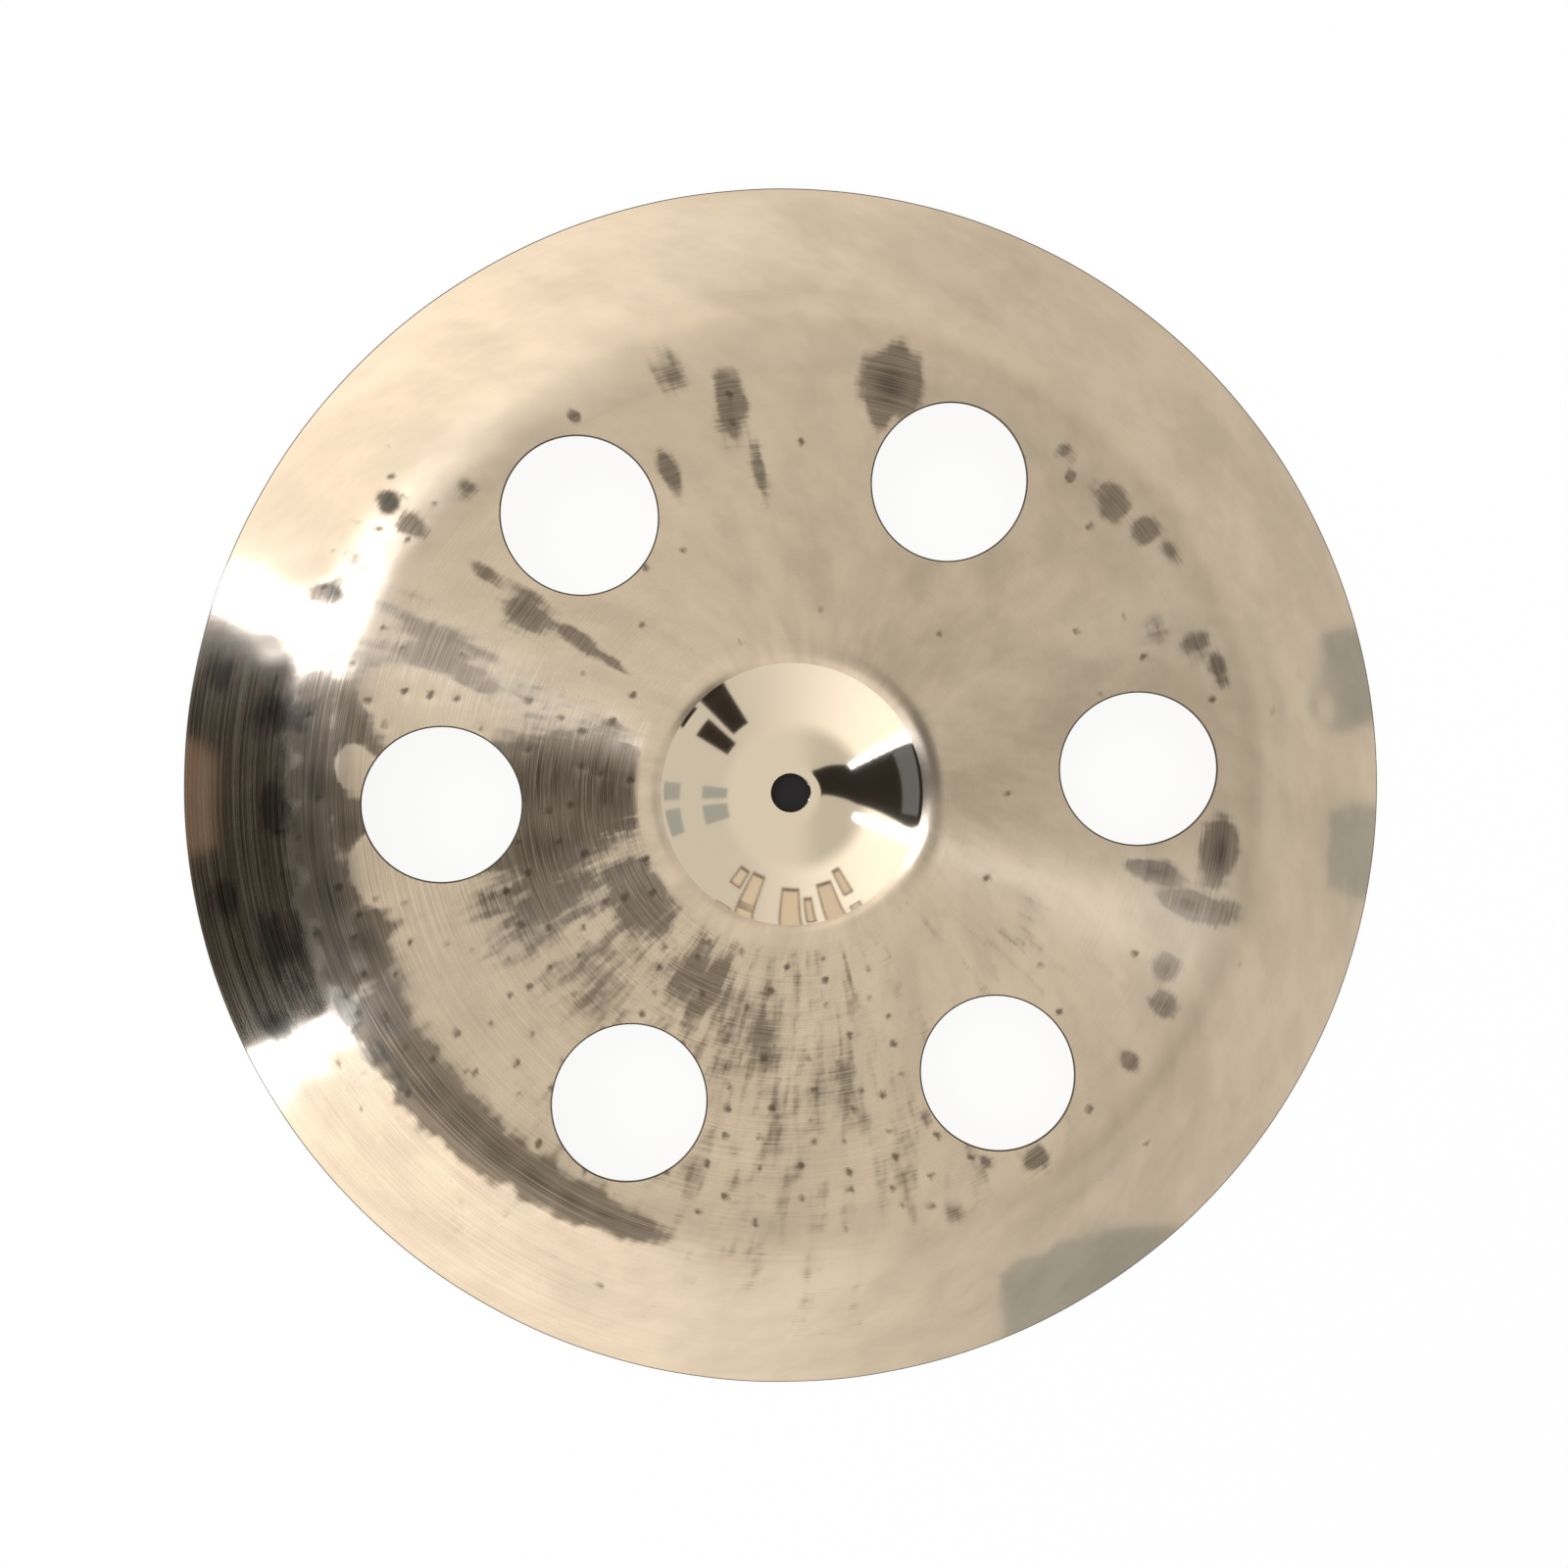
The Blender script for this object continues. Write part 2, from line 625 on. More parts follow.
def spin_blank(radii, steps):
    """Spins a row of vertices into a flat round blank with a hole in its middle."""
    bpy.ops.mesh.primitive_grid_add(
        x_subdivisions=len(radii) - 1, y_subdivisions=1, size=radii[-1], enter_editmode=True
    )
    blank = bpy.context.object
    mesh = bmesh.from_edit_mesh(blank.data)
    for vertex in mesh.verts:
        vertex.select_set(vertex.co.y > 0)
    mesh.select_flush(False)
    bpy.ops.mesh.delete(type="VERT")
    mesh = bmesh.from_edit_mesh(blank.data)
    for vertex, radius in zip(sorted(mesh.verts, key=lambda v: v.co.x), radii):
        vertex.co = (radius, 0, 0)
    bpy.ops.object.mode_set(mode="OBJECT")
    spin = blank.modifiers.new("spin", "SCREW")
    spin.steps = spin.render_steps = steps
    spin.use_merge_vertices = True
    spin.merge_threshold = MERGE_DISTANCE
    bpy.ops.object.modifier_apply(modifier=spin.name)
    return blank


def port_distance(centres, place):
    """How far a place is in plan from the middle of the nearest port."""
    return min((place - centre).length for centre in centres)


def walk_loops(mesh):
    """The closed loops of selected edges, each as its vertices in order."""
    waiting = {vertex: None for edge in mesh.edges if edge.select for vertex in edge.verts}
    loops = []
    while waiting:
        vertex = next(iter(waiting))
        loop = []
        while vertex:
            del waiting[vertex]
            loop.append(vertex)
            beside = [edge.other_vert(vertex) for edge in vertex.link_edges if edge.select]
            vertex = next((other for other in beside if other in waiting), None)
        loops.append(loop)
    return loops


def evened(angles, rounds=8):
    """Angles round a closed loop, spaced more evenly but still about where they were."""
    angles = np.unwrap(angles)
    turn = math.copysign(2 * math.pi, angles[-1] - angles[0])
    for _ in range(rounds):
        before = np.concatenate([angles[-1:] - turn, angles[:-1]])
        after = np.concatenate([angles[1:], angles[:1] + turn])
        angles = (before + angles + after) / 3
    return angles


def set_round(blank, centres, radius):
    """In edit mode, sets each selected loop on a true circle round its port."""
    mesh = bmesh.from_edit_mesh(blank.data)
    for loop in walk_loops(mesh):
        centre = min(centres, key=lambda place: (loop[0].co.xy - place).length)
        away = [vertex.co.xy - centre for vertex in loop]
        angles = evened([math.atan2(arm.y, arm.x) for arm in away])
        for vertex, angle in zip(loop, angles):
            vertex.co.xy = centre + radius * Vector((math.cos(angle), math.sin(angle)))
    bmesh.update_edit_mesh(blank.data)


def cut_ports(blank, centres, radius, lining):
    """Takes the faces out of each port and brings its edge in to a true circle, past two even
    rings of faces."""
    bpy.ops.object.mode_set(mode="EDIT")
    bpy.ops.mesh.select_mode(type="FACE")
    bpy.ops.mesh.select_all(action="DESELECT")
    clear_radius = radius + 2 * lining
    search_radius = 1.2 * clear_radius
    for face in bmesh.from_edit_mesh(blank.data).faces:
        if port_distance(centres, face.calc_center_median().xy) < clear_radius:
            face.select_set(True)
    bpy.ops.mesh.delete(type="FACE")
    select_edges(
        lambda edge: edge.is_boundary and port_distance(centres, edge_middle(edge)) < search_radius
    )
    set_round(blank, centres, clear_radius)
    for wider in (lining, 0):
        bpy.ops.mesh.extrude_edges_move()
        set_round(blank, centres, radius + wider)
    bpy.ops.object.mode_set(mode="OBJECT")


def make_blank(sizes):
    """A flat round blank with its centre hole and its ports."""
    blank = spin_blank(ring_radii(sizes), sizes.disc_steps)
    cut_ports(blank, port_centres(), sizes.port_diameter / 2, sizes.edge_width)
    return blank


def vertex_places(mesh):
    """The places of a mesh's vertices, one row each."""
    places = np.empty(len(mesh.vertices) * 3)
    mesh.vertices.foreach_get("co", places)
    return places.reshape(-1, 3)


def press(blank, sizes, hammering):
    """Presses a flat blank to the profile and hammers it."""
    places = vertex_places(blank.data)
    radius = np.hypot(places[:, 0], places[:, 1])
    places[:, 2] = np.interp(radius, *pressed_profile(sizes))
    places[:, 2] += hammered_heights(places[:, 0], places[:, 1], sizes, hammering)
    blank.data.vertices.foreach_set("co", places.ravel())
    blank.data.update()


def thicken(sheet, sizes):
    """Gives the sheet its wall under the hollow side, with rounded edges."""
    bpy.ops.object.mode_set(mode="EDIT")
    bpy.ops.mesh.select_all(action="SELECT")
    bpy.ops.mesh.normals_make_consistent(inside=False)
    bpy.ops.object.mode_set(mode="OBJECT")
    if sheet.data.polygons[0].normal.z < 0:
        sheet.data.flip_normals()
    wall = sheet.modifiers.new("wall", "SOLIDIFY")
    wall.thickness = sizes.wall_thickness
    wall.offset = -1
    wall.use_even_offset = True
    bpy.ops.object.modifier_apply(modifier=wall.name)
    bpy.ops.object.mode_set(mode="EDIT")
    bpy.ops.mesh.select_mode(type="EDGE")
    bpy.ops.mesh.select_all(action="DESELECT")
    bpy.ops.mesh.edges_select_sharp(sharpness=SHARP_ANGLE)
    bpy.ops.mesh.bevel(offset=sizes.edge_rounding, segments=ROUNDING_SEGMENTS, affect="EDGES")
    bpy.ops.object.mode_set(mode="OBJECT")


def mark_finish(sheet, sizes, hammering):
    """Writes down where the sheet kept its scale and where it was struck, for its finish."""
    places = vertex_places(sheet.data)
    x, y = places[:, 0], places[:, 1]
    rim = sizes.rim_diameter / 2
    fields = {
        "scale": scale_field(x, y, rim),
        "dents": struck_field(x, y, dent_places(sizes, hammering), hammering.dent_radius),
        "blots": blot_field(x, y, rim),
    }
    for name, field in fields.items():
        attribute = sheet.data.attributes.new(name, "FLOAT", "POINT")
        attribute.data.foreach_set("value", field)


def seat_in_frame(sheet, sizes):
    """Sets the sheet on the table and as high as the frame has it, hammer marks included."""
    places = vertex_places(sheet.data)
    low, high = places[:, 2].min(), places[:, 2].max()
    places[:, 2] = (places[:, 2] - low) * sizes.overall_height / (high - low) + CAD_LOW.z
    sheet.data.vertices.foreach_set("co", places.ravel())
    sheet.data.update()


def make_sheet(sizes, hammering):
    """The whole sheet of bronze as one closed body with rounded edges."""
    deselect_all()
    sheet = make_blank(sizes)
    sheet.name = "bronze_sheet"
    press(sheet, sizes, hammering)
    thicken(sheet, sizes)
    seat_in_frame(sheet, sizes)
    mark_finish(sheet, sizes, hammering)
    bpy.ops.object.shade_smooth_by_angle(angle=SMOOTH_ANGLE)
    return sheet


# Materials.


def span(value, low, high, new_low=0.0, new_high=1.0):
    """What a node that takes a number from one range to another is given."""
    return {"Value": value, "From Min": low, "From Max": high, "To Min": new_low, "To Max": new_high}


def polar_places(tree):
    """The direction from the centre hole's axis and the distance from it in millimetres."""
    place = add_node(tree, "ShaderNodeTexCoord", wanted="Object")
    flat = add_node(tree, VECTOR_MATH, {0: place, 1: (1 / MM, 1 / MM, 0)}, operation="MULTIPLY")
    direction = add_node(tree, VECTOR_MATH, {0: flat}, operation="NORMALIZE")
    radius = add_node(tree, VECTOR_MATH, {0: flat}, "Value", operation="LENGTH")
    return direction, radius


def polar_noise(tree, place, around, outward, detail=3.0, height=1.0):
    """Noise about 0 that is drawn out round the axis or along the radius, by how many of its waves
    there are in one radian and in one millimetre of the radius."""
    direction, radius = place
    turned = add_node(tree, VECTOR_MATH, {0: direction, "Scale": around}, operation="SCALE")
    reach = add_node(tree, MATH, {0: radius, 1: outward}, operation="MULTIPLY")
    moved = add_node(tree, VECTOR_MATH, {0: ASLANT, "Scale": reach}, operation="SCALE")
    spot = add_node(tree, VECTOR_MATH, {0: turned, 1: moved}, operation="ADD")
    waves = {"Vector": spot, "Scale": 1.0, "Detail": detail, "Roughness": 0.6}
    noise = add_node(tree, "ShaderNodeTexNoise", waves)
    about_zero = {0: noise, 1: height, 2: -height / 2}
    return add_node(tree, MATH, about_zero, operation="MULTIPLY_ADD")


def scale_mask(tree, place):
    """Where the scale is: its patches, with edges frayed along the radius and round the axis, and
    the lines that the tool cut through it, a third of a millimetre apart."""
    frayed = add_node(tree, ATTRIBUTE, wanted="Fac", attribute_name="scale")
    for around, outward, detail, height in FRAYING:
        fray = polar_noise(tree, place, around, outward, detail, height)
        frayed = add_node(tree, MATH, {0: frayed, 1: fray}, operation="ADD")
    patches = add_node(tree, MAP_RANGE, span(frayed, -0.12, 0.5), **SOFTLY)
    cuts = polar_noise(tree, place, 4, 3.2)
    lines = add_node(tree, MAP_RANGE, span(cuts, -0.2, 0.15, 0.74, 1.0), **SOFTLY)
    return add_node(tree, MATH, {0: patches, 1: lines}, operation="MULTIPLY")


def ring_bump(tree, place, depth):
    """The tool's rings, about a millimetre apart and deeper at some radii than at others. Real ones
    are finer. They are drawn as coarse as they need to be to show."""
    fine = polar_noise(tree, place, 0.6, 1.1, 4.0)
    broad = polar_noise(tree, place, 0.9, 0.07, 2.0)
    deep = add_node(tree, MAP_RANGE, span(broad, -0.12, 0.16, 0.35, 1.0), **SOFTLY)
    rings = add_node(tree, MATH, {0: fine, 1: deep}, operation="MULTIPLY")
    return add_node(tree, "ShaderNodeBump", {"Strength": 1.0, "Distance": depth, "Height": rings})


def lathed_zones(tree, place, sizes):
    """How far each place is beyond the bell's foot, in the fold and on the flange, from 0 to 1, and
    how far it lies to the lower left, from -1 to 1."""
    direction, radius = place
    bow, fold, flange = (stop / MM for stop in stretch_radii(sizes)[3:6])
    to_fold = add_node(tree, MAP_RANGE, span(radius, 0.95 * fold, fold), **SOFTLY)
    from_fold = add_node(tree, MAP_RANGE, span(radius, 1.1 * flange, flange), **SOFTLY)
    lower_left = {0: direction, 1: (-0.85, -0.5, 0)}
    return {
        "beyond_foot": add_node(tree, MAP_RANGE, span(radius, 0.98 * bow, 1.05 * bow), **SOFTLY),
        "in_fold": add_node(tree, MATH, {0: to_fold, 1: from_fold}, operation="MULTIPLY"),
        "on_flange": add_node(tree, MAP_RANGE, span(radius, 0.95 * flange, 1.03 * flange), **SOFTLY),
        "lower_left": add_node(tree, VECTOR_MATH, lower_left, "Value", operation="DOT_PRODUCT"),
    }


def hammer_stains(tree, place):
    """How dark the dents' bottoms and the heavy blows' stains are, both with ragged edges."""
    shares = []
    for name, noise, reach in (
        ("dents", polar_noise(tree, place, 40, 0.5, height=0.7), (0.22, 0.8, 0, 0.85)),
        ("blots", polar_noise(tree, place, 12, 0.16, height=2.4), (-0.1, 0.7, 0, 0.62)),
    ):
        marks = add_node(tree, ATTRIBUTE, wanted="Fac", attribute_name=name)
        ragged = add_node(tree, MATH, {0: marks, 1: noise}, operation="ADD")
        shares.append(add_node(tree, MAP_RANGE, span(ragged, *reach), **SOFTLY))
    return shares


def tarnish_share(tree, place, zones):
    """How far clean bronze has dulled: in clouds, in a finer mottle, and more at the upper right of
    the bow."""
    most = add_node(tree, MAP_RANGE, span(zones["on_flange"], 0.0, 1.0, 0.2, 0.0), **SOFTLY)
    tarnish = add_node(tree, MAP_RANGE, span(zones["lower_left"], -0.2, -0.85, 0.0, most), **SOFTLY)
    for noise, reach in (
        (polar_noise(tree, place, 4, 0.035), (-0.1, 0.16, 0.0, 0.14)),
        (polar_noise(tree, place, 9, 0.08), (-0.14, 0.14, 0.0, 0.1)),
    ):
        dulled = add_node(tree, MAP_RANGE, span(noise, *reach), **SOFTLY)
        tarnish = add_node(tree, MATH, {0: tarnish, 1: dulled}, operation="ADD")
    return tarnish


def lathed_colours(tree, place, zones, colours):
    """The colour of clean bronze and that of bronze under its scale, both with the hammer's stains."""
    dented, blotted = hammer_stains(tree, place)
    scale = add_node(tree, ATTRIBUTE, wanted="Fac", attribute_name="scale")
    thick = add_node(tree, MAP_RANGE, span(scale, 0.5, 1.4), **SOFTLY)
    finished = []
    for share, first, second in (
        (tarnish_share(tree, place, zones), colours.bronze, colours.oxide),
        (thick, colours.oxide, colours.thick_oxide),
    ):
        mixed = add_node(tree, MIX, {0: share, 6: (*first, 1), 7: (*second, 1)}, 2, data_type="RGBA")
        for stain, stain_colour in ((dented, colours.grime), (blotted, colours.blot)):
            stained = {0: stain, 6: mixed, 7: (*stain_colour, 1)}
            mixed = add_node(tree, MIX, stained, 2, data_type="RGBA")
        finished.append(mixed)
    return finished


def smooth_roughness(tree, place, zones, sizes):
    """Roughness between the grooves: least on the flange, more on the bell's foot, and most in the
    fold, where the hammer left the sheet uneven."""
    bow = stretch_radii(sizes)[3] / MM
    foot = add_node(tree, MAP_RANGE, span(place[1], 1.05 * bow, bow, 0.12, 0.24), **SOFTLY)
    flange = {0: zones["on_flange"], 1: -0.02, 2: foot}
    plain = add_node(tree, MATH, flange, operation="MULTIPLY_ADD")
    blur = add_node(tree, MAP_RANGE, span(zones["lower_left"], 0.2, 0.8, 0.32, 0.17), **SOFTLY)
    fold = {0: zones["in_fold"], 1: blur, 2: plain}
    return add_node(tree, MATH, fold, operation="MULTIPLY_ADD")


def groove_share(tree, place, zones, mask):
    """How much of each place shows the tool's grooves: nearly all of it under the scale, and
    elsewhere a part, ring by ring, most at the lower left and least on the flange."""
    worn_from = add_node(tree, MAP_RANGE, span(zones["on_flange"], 0.0, 1.0, -0.3, 0.6), **SOFTLY)
    worn_reach = span(zones["lower_left"], worn_from, 0.95, 0.06, 1.0)
    worn = add_node(tree, MAP_RANGE, worn_reach, **SOFTLY)
    uneven = polar_noise(tree, place, 1.5, 2.4)
    rings = add_node(tree, MAP_RANGE, span(uneven, -0.15, 0.15, -0.22, 0.22), **SOFTLY)
    even = add_node(tree, MAP_RANGE, span(zones["on_flange"], 0.0, 1.0, 0.3, 0.08), **SOFTLY)
    clean = add_node(tree, MATH, {0: rings, 1: worn, 2: even}, operation="MULTIPLY_ADD")
    least = add_node(tree, MATH, {0: clean, 1: zones["beyond_foot"]}, operation="MULTIPLY")
    return add_node(tree, MAP_RANGE, span(mask, 0.0, 1.0, least, 0.97), **SOFTLY)


def lathed_bronze(tree, sizes, colours, tooling):
    """Tin bronze, hammered and then turned on a lathe. Most of it is smooth enough to show soft
    reflections. Low places kept a grey-brown scale, and there the tool's grooves draw each
    reflection out along the radius."""
    place = polar_places(tree)
    zones = lathed_zones(tree, place, sizes)
    patches = {0: scale_mask(tree, place), 1: zones["beyond_foot"]}
    mask = add_node(tree, MATH, patches, operation="MULTIPLY")
    clean, dull = lathed_colours(tree, place, zones, colours)
    smooth = {
        "Base Color": clean,
        "Metallic": 1.0,
        "Roughness": smooth_roughness(tree, place, zones, sizes),
        "Normal": ring_bump(tree, place, tooling.fine_ring_depth),
    }
    grooved = {
        "Base Color": add_node(tree, MIX, {0: mask, 6: clean, 7: dull}, 2, data_type="RGBA"),
        "Metallic": 1.0,
        "Roughness": 0.44,
        "Anisotropic": 1.0,
        "Anisotropic Rotation": 0.25,
        "Normal": ring_bump(tree, place, tooling.groove_depth),
        "Tangent": add_node(tree, "ShaderNodeTangent", direction_type="RADIAL", axis="Z"),
    }
    finishes = {
        0: groove_share(tree, place, zones, mask),
        1: add_node(tree, PRINCIPLED, smooth),
        2: add_node(tree, PRINCIPLED, grooved),
    }
    return add_node(tree, MIX_SHADER, finishes)


def buffed_bronze(tree, colours, tooling):
    """Tin bronze buffed on a wheel after lathing, so the bell is nearly a mirror, with a trace of
    the tool's rings."""
    buffed = {
        "Base Color": (*colours.buffed, 1),
        "Metallic": 1.0,
        "Roughness": 0.07,
        "Normal": ring_bump(tree, polar_places(tree), tooling.buffed_ring_depth),
    }
    return add_node(tree, PRINCIPLED, buffed)


def raw_bronze(tree, colours):
    """Tin bronze left as the cutter left it and tarnished since, dark and dull along the edges."""
    raw = {"Base Color": (*colours.edge, 1), "Metallic": 1.0, "Roughness": 0.5}
    return add_node(tree, PRINCIPLED, raw)


def give_finishes(sheet, sizes, colours, tooling):
    """Gives the bell its buffed finish, the cut edges a raw one and the rest its lathed one."""
    for material in (
        new_material("lathed_bronze", lathed_bronze, sizes, colours, tooling),
        new_material("buffed_bronze", buffed_bronze, colours, tooling),
        new_material("raw_edge_bronze", raw_bronze, colours),
    ):
        sheet.data.materials.append(material)
    centres = port_centres()
    bell, bow = stretch_radii(sizes)[2:4]
    buffed_radius = bell + 0.1 * (bow - bell)
    raw_width = 0.8 * sizes.edge_width
    for face in sheet.data.polygons:
        place = face.center.xy
        raw = place.length > sizes.rim_diameter / 2 - raw_width
        raw |= port_distance(centres, place) < sizes.port_diameter / 2 + raw_width
        face.material_index = 2 if raw else int(place.length < buffed_radius)


# The studio.


def lit_card(tree, shade, strength):
    """Card lit to a set brightness, which shows in the metal as an even patch of its colour."""
    return add_node(tree, "ShaderNodeEmission", {"Color": (*shade, 1), "Strength": strength})


def add_card(name, high_azimuths, low_azimuths, polars, distance, material):
    """A curved card beside the cymbal, between two angles off the zenith, in degrees. Its azimuths
    are given at its high and its low edge. Only the metal shows it."""
    deselect_all()
    bpy.ops.mesh.primitive_grid_add(x_subdivisions=CARD_STEPS, y_subdivisions=CARD_STEPS)
    card = bpy.context.object
    card.name = name
    places = vertex_places(card.data)
    edge = places[:, 0].max()
    side, fall = (places[:, 0] / edge + 1) / 2, (places[:, 1] / edge + 1) / 2
    high = np.interp(side, [0, 1], high_azimuths)
    low = np.interp(side, [0, 1], low_azimuths)
    azimuth = np.radians(high * (1 - fall) + low * fall)
    polar = np.radians(np.interp(fall, [0, 1], polars))
    places[:, 0] = distance * np.sin(polar) * np.cos(azimuth)
    places[:, 1] = distance * np.sin(polar) * np.sin(azimuth)
    places[:, 2] = distance * np.cos(polar)
    card.data.vertices.foreach_set("co", places.ravel())
    card.data.update()
    card.data.materials.append(material)
    card.visible_camera = False
    card.visible_diffuse = False
    card.visible_shadow = False
    card.visible_transmission = False


def add_cards(studio, colours):
    """The cards: a dark flag on the left with white strips along its sides, small grey-green panes
    on the right, dark cards in front and pale frames at the back."""
    near, far = studio.near_cards, studio.far_cards
    finishes = {
        "flag": (colours.flag, 1.0, far),
        "warm_flag": (colours.warm_flag, studio.warm_strength, near),
        "grey_flag": (colours.grey_flag, 1.0, near),
        "small_flag": (colours.small_flag, 1.0, near),
        "strip": (colours.strip, studio.strip_strength, far),
        "soft_strip": (colours.strip, studio.soft_strip_strength, far),
        "pane": (colours.pane, 1.0, near),
    }
    materials = {
        finish: new_material(f"{finish}_card", lit_card, shade, strength)
        for finish, (shade, strength, distance) in finishes.items()
    }
    for name, (finish, high, low, polars) in CARD_ANGLES.items():
        add_card(name, high, low, polars, finishes[finish][2], materials[finish])
    frame_card = new_material("frame_card", lit_card, colours.frame, 1.0)
    light_card = new_material("frame_light_card", lit_card, colours.frame_light, 1.0)
    side, top, foot = FRAME_BORDERS
    for index, (start, end, high, low) in enumerate(FRAME_ANGLES):
        name = f"frame_back_{index}"
        add_card(name, (start, end), (start, end), (high, low), far, frame_card)
        inner = (start + side, end - side)
        add_card(f"{name}_light", inner, inner, (high + top, low - foot), near, light_card)


def add_camera(studio):
    """The camera, over the hollow side as in the photograph."""
    deselect_all()
    bpy.ops.object.camera_add(location=studio.camera_place, rotation=Euler(studio.camera_turn))
    camera = bpy.context.object
    camera.name = "camera"
    camera.data.lens = studio.focal_length
    camera.data.clip_start = studio.near_clip
    bpy.context.scene.camera = camera


def studio_paper(tree, colours):
    """Seamless studio paper: pale to the eye and to the metal, with the cymbal's soft shadow."""
    path = add_node(tree, "ShaderNodeLightPath").node.outputs
    seen = path["Is Camera Ray"]
    for ray in ("Is Glossy Ray", "Is Transmission Ray"):
        seen = add_node(tree, MATH, {0: seen, 1: path[ray]}, operation="MAXIMUM")
    share = add_node(tree, MATH, {0: seen, 1: 0.9}, operation="MULTIPLY")
    paper = add_node(tree, PRINCIPLED, {"Base Color": (*colours.floor, 1), "Roughness": 0.9})
    white = add_node(tree, "ShaderNodeEmission", {"Color": WHITE, "Strength": 1.0})
    return add_node(tree, MIX_SHADER, {0: share, 1: paper, 2: white})


def add_floor(studio, colours):
    """The pale floor, just under the rim."""
    deselect_all()
    bpy.ops.mesh.primitive_plane_add(size=studio.floor_width, location=(0, 0, -studio.floor_gap))
    floor = bpy.context.object
    floor.name = "floor"
    floor.data.materials.append(new_material("studio_paper", studio_paper, colours))


def black_felt(tree, colours):
    """Black wool felt: matt, and nearly as dark as a hole."""
    return add_node(tree, PRINCIPLED, {"Base Color": (*colours.felt, 1), "Roughness": 0.95})


def add_dark_spot(sizes, studio, colours):
    """A small felt disc on the floor, which is all that shows through the centre hole."""
    deselect_all()
    radius = 0.6 * sizes.rod_hole_diameter
    place = (0, 0, -studio.felt_gap)
    bpy.ops.mesh.primitive_circle_add(vertices=48, radius=radius, fill_type="NGON", location=place)
    spot = bpy.context.object
    spot.name = "dark_spot"
    spot.data.materials.append(new_material("black_felt", black_felt, colours))


def set_world(studio, colours):
    """Even light all round, and white to the camera. The metal sees white walls, brighter on the
    left, and a pale grey ceiling, brighter on the right."""
    world = bpy.data.worlds.new("studio_world")
    bpy.context.scene.world = world
    world.use_nodes = True
    tree = world.node_tree
    tree.nodes.clear()
    path = add_node(tree, "ShaderNodeLightPath").node.outputs
    direction = add_node(tree, "ShaderNodeTexCoord", wanted="Generated")
    along = add_node(tree, "ShaderNodeSeparateXYZ", {0: direction}).node.outputs
    upward = add_node(tree, MAP_RANGE, span(along["Z"], 0.77, 0.87), **SOFTLY)
    walls = add_node(tree, MAP_RANGE, span(along["X"], -0.9, 0.6, 1.4, 0.7), **SOFTLY)
    overhead = add_node(tree, MAP_RANGE, span(along["X"], -0.25, 0.05, 0.82, 1.03), **SOFTLY)
    strength = add_node(tree, MAP_RANGE, span(along["Z"], 0.77, 0.87, walls, overhead), **SOFTLY)
    shades = {0: upward, 6: WHITE, 7: (*colours.ceiling, 1)}
    shown = add_node(tree, MIX, shades, 2, data_type="RGBA")
    background = "ShaderNodeBackground"
    lit = add_node(tree, background, {"Color": WHITE, "Strength": studio.world_strength})
    room = add_node(tree, background, {"Color": shown, "Strength": strength})
    white = add_node(tree, background, {"Color": WHITE, "Strength": 1.0})
    glossy = add_node(tree, MIX_SHADER, {0: path["Is Glossy Ray"], 1: lit, 2: room})
    seen = add_node(tree, MIX_SHADER, {0: path["Is Camera Ray"], 1: glossy, 2: white})
    add_node(tree, "ShaderNodeOutputWorld", {"Surface": seen})


def add_lamp(studio):
    """One soft square lamp that looks at the cymbal and doesn't show in the metal."""
    deselect_all()
    place = Vector(studio.lamp_place)
    turn = (-place).to_track_quat("-Z", "Y").to_euler()
    bpy.ops.object.light_add(type="AREA", location=place, rotation=turn)
    lamp = bpy.context.object
    lamp.name = "soft_lamp"
    lamp.data.size = studio.lamp_size
    lamp.data.energy = studio.lamp_power
    lamp.visible_glossy = False


def set_view():
    """Plain colour management, so that colours render as they are written."""
    bpy.context.scene.view_settings.view_transform = "Standard"


# Operators, panel and registration.


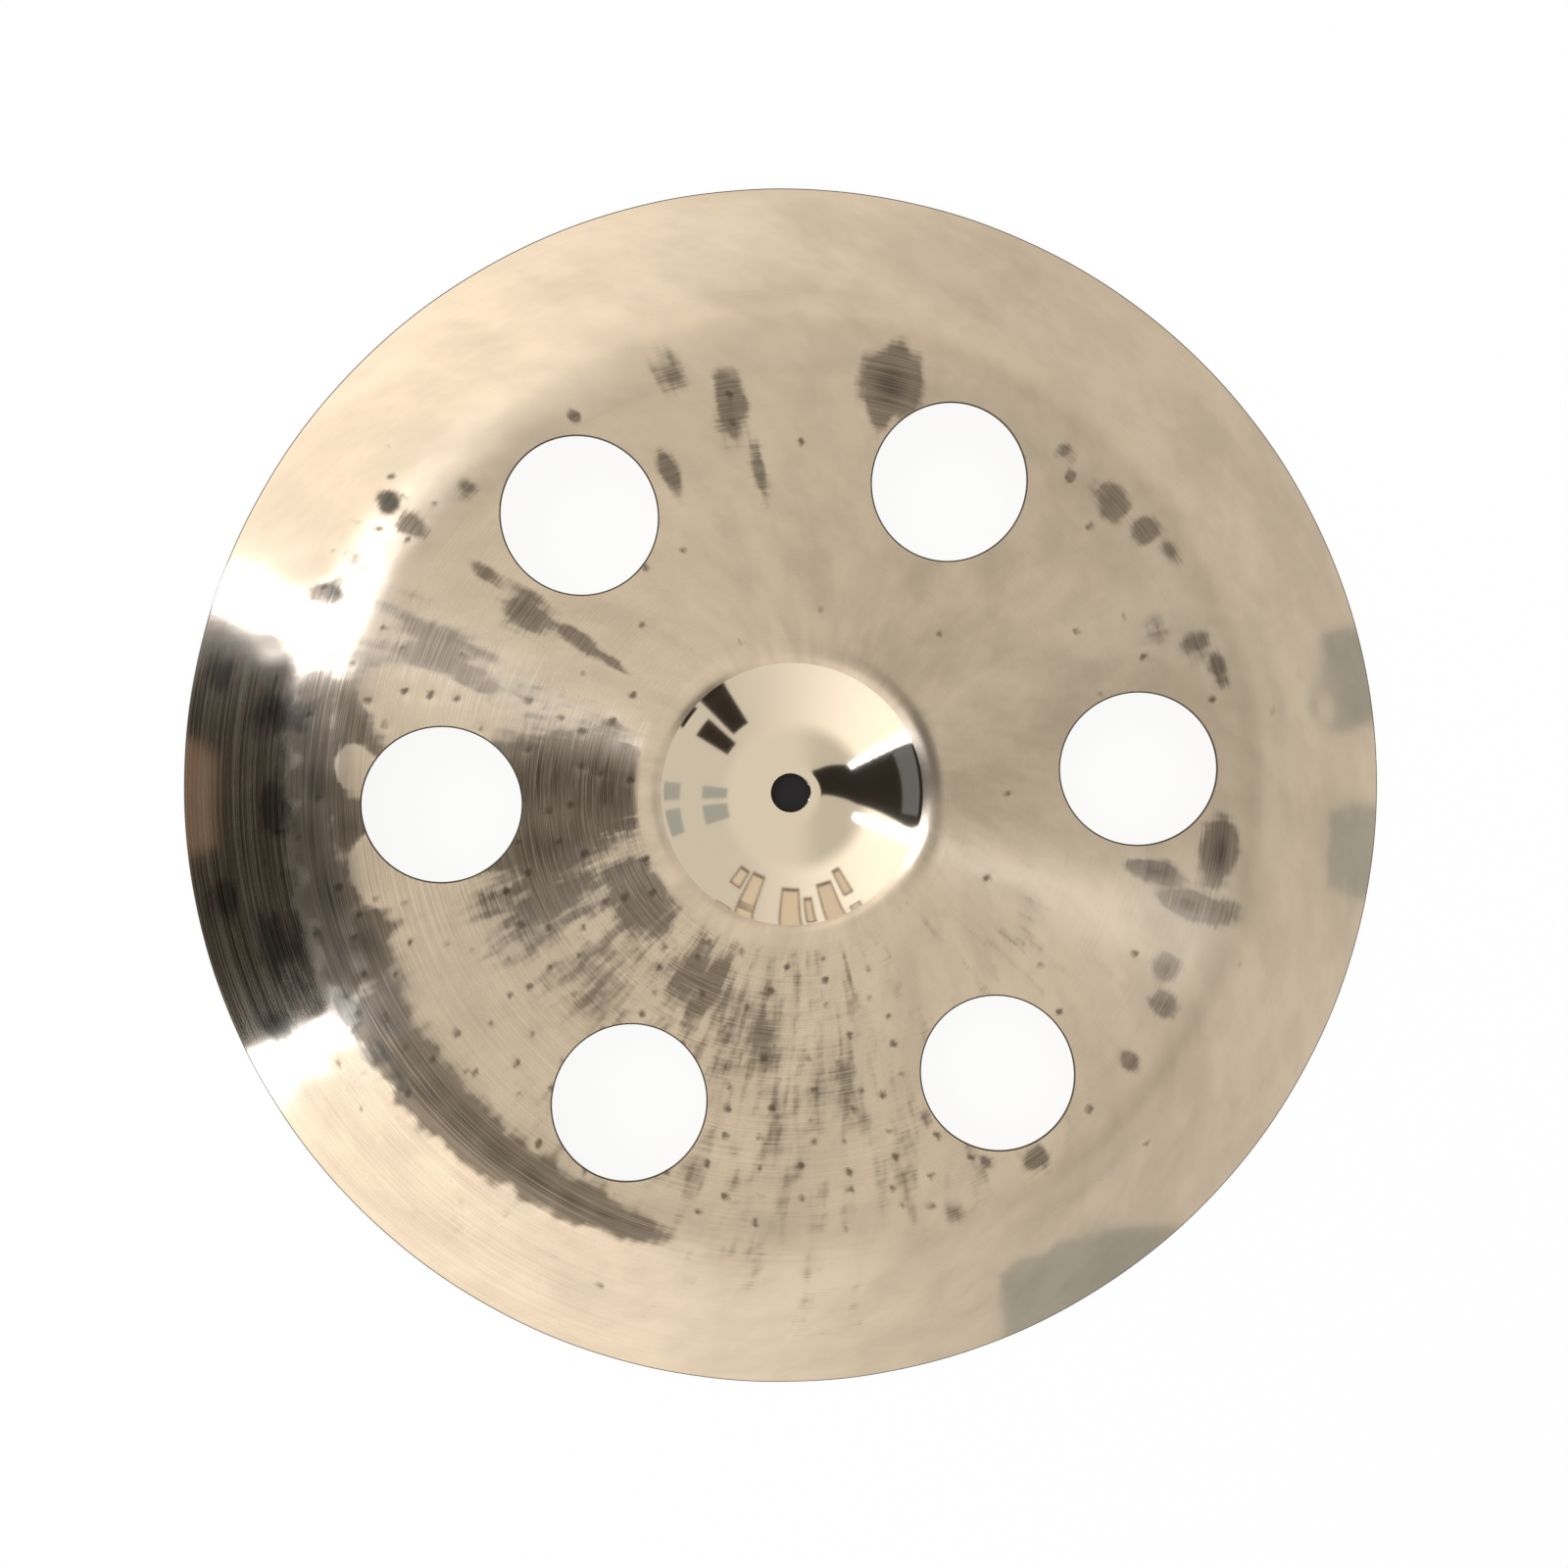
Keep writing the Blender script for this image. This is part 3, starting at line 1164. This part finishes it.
class CYMBAL_OT_make_stage(bpy.types.Operator):
    """Make the camera, the floor, the cards and the light"""

    bl_idname = "cymbal.make_stage"
    bl_label = "Make stage"

    def execute(self, context):
        scene = context.scene
        sizes, studio, colours = scene.cymbal_sizes, scene.cymbal_studio, scene.cymbal_colours
        add_camera(studio)
        add_floor(studio, colours)
        add_dark_spot(sizes, studio, colours)
        add_cards(studio, colours)
        set_world(studio, colours)
        add_lamp(studio)
        set_view()
        return {"FINISHED"}


class CYMBAL_OT_make_sheet(bpy.types.Operator):
    """Make the hammered and lathed sheet of bronze"""

    bl_idname = "cymbal.make_sheet"
    bl_label = "Make cymbal"

    def execute(self, context):
        scene = context.scene
        sizes = scene.cymbal_sizes
        sheet = make_sheet(sizes, scene.cymbal_hammering)
        give_finishes(sheet, sizes, scene.cymbal_colours, scene.cymbal_tooling)
        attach(sheet, "root")
        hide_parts(NODE)
        return {"FINISHED"}


class CYMBAL_PT_panel(bpy.types.Panel):
    """The cymbal's operators and sizes"""

    bl_idname = "CYMBAL_PT_panel"
    bl_label = "China cymbal"
    bl_space_type = "VIEW_3D"
    bl_region_type = "UI"
    bl_category = "Cymbal"

    def draw(self, context):
        for operator in OPERATORS:
            self.layout.operator(operator.bl_idname)
        for name, group in GROUPS.items():
            box = self.layout.box()
            for prop in group.__annotations__:
                box.prop(getattr(context.scene, name), prop)


GROUPS = {
    "cymbal_sizes": CymbalSizes,
    "cymbal_hammering": CymbalHammering,
    "cymbal_tooling": CymbalTooling,
    "cymbal_colours": CymbalColours,
    "cymbal_studio": CymbalStudio,
}
OPERATORS = (CYMBAL_OT_make_stage, CYMBAL_OT_make_sheet)
CLASSES = (*GROUPS.values(), *OPERATORS, CYMBAL_PT_panel)


def register():
    """Makes the classes and their groups of settings known to Blender."""
    for each in CLASSES:
        bpy.utils.register_class(each)
    for name, group in GROUPS.items():
        setattr(bpy.types.Scene, name, PointerProperty(type=group))


def unregister():
    """Takes the classes and their groups of settings out again."""
    for name in GROUPS:
        delattr(bpy.types.Scene, name)
    for each in reversed(CLASSES):
        bpy.utils.unregister_class(each)


def main():
    """Makes the stage and the cymbal."""
    register()
    bpy.ops.cymbal.make_stage()
    bpy.ops.cymbal.make_sheet()


if __name__ == "__main__":
    main()
